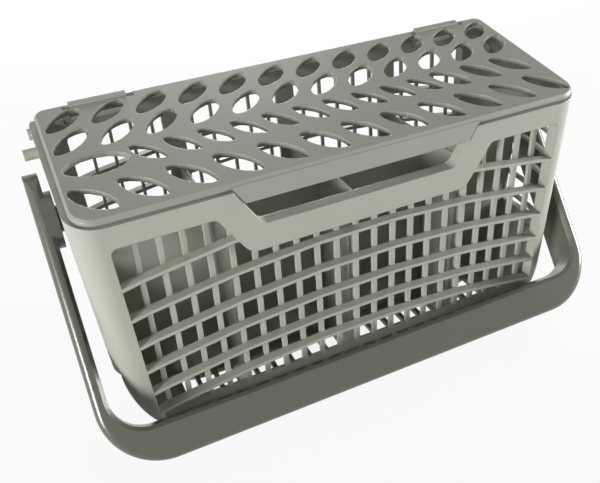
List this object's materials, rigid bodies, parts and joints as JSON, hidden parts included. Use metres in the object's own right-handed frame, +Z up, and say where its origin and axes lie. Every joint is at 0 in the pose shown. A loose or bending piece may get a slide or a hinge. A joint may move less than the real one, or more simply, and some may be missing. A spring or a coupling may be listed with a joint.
{
  "type": "dishwasher cutlery basket",
  "caption": "Grey moulded dishwasher cutlery basket with arched lattice walls, a sloped hinged lid with leaf-shaped openings and a swinging carrying handle.",
  "frame": {"origin": "centre of the flat base", "axes": "+X along the basket's length to the right seen from the notched front, +Y to the hinged rear, +Z up"},
  "size_m": [0.2634, 0.1061, 0.1452],
  "materials": {
    "basket": "satin",
    "lid": "satin",
    "handle": "semi gloss"
  },
  "bodies": {
    "basket_body": {"basket_body": "basket"},
    "lid": {"lid": "lid"},
    "carrying_handle": {"carrying_handle": "handle"}
  },
  "joints": [
    {"name": "lid_hinge", "type": "hinge", "parent": "basket_body", "child": "lid", "pos_m": [0, 0.03894, 0.14091], "axis": [-1, 0, 0], "range_deg": [0, 110]},
    {"name": "handle_pivot", "type": "hinge", "parent": "basket_body", "child": "carrying_handle", "pos_m": [0, 0.01275, 0.1034], "axis": [-1, 0, 0], "range_deg": [0, 143]}
  ]
}
